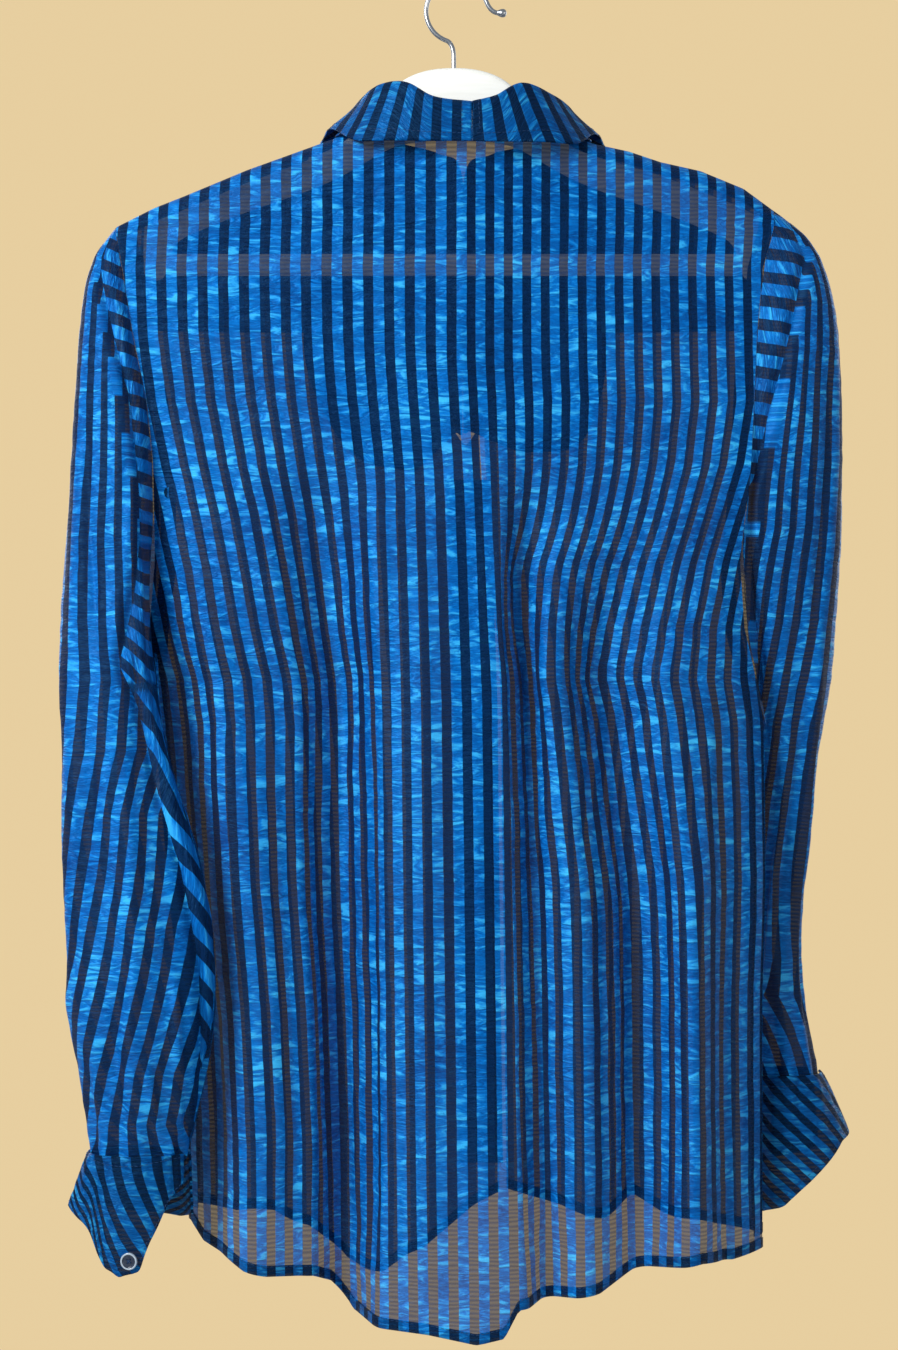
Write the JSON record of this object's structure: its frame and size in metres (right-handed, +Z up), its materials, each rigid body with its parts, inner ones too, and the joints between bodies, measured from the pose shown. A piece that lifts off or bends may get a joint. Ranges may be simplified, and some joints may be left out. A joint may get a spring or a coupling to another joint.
{
  "type": "organza shirt on hanger",
  "caption": "Sheer striped long-sleeved organza shirt with a wide collar, hanging open-cuffed from a shaped hanger with a trouser bar and a wire hook.",
  "frame": {"origin": "where the hook's inside top rests on a rail", "axes": "+Z up, the back of the shirt faces -Y, its front faces +Y, and the wearer's left is -X"},
  "size_m": [0.4951, 0.1516, 0.8382],
  "materials": {
    "azure_organza": "satin and sheer stripes",
    "hem_navy": "doubled sheer cloth",
    "dark_button": "polished",
    "white_paint": "white satin lacquer",
    "bright_wire": "polished"
  },
  "bodies": {
    "root": {"back_panel": "azure_organza", "hem_back": "hem_navy", "front_left": "azure_organza", "front_right": "azure_organza", "hem_front_left": "hem_navy", "hem_front_right": "hem_navy", "front_yoke_left": "azure_organza", "front_yoke_right": "azure_organza", "front_placket": "azure_organza", "sleeve_left": "azure_organza", "sleeve_right": "azure_organza", "cuff_left": "azure_organza", "cuff_right": "azure_organza", "collar_left": "azure_organza", "collar_right": "azure_organza", "cuff_button_left": "dark_button", "cuff_button_right": "dark_button", "hanger_arms": "white_paint", "hanger_bar": "white_paint", "hanger_hook": "bright_wire", "front_button_1": "dark_button", "front_button_2": "dark_button", "front_button_3": "dark_button", "front_button_4": "dark_button", "front_button_5": "dark_button", "front_button_6": "dark_button"}
  },
  "joints": []
}
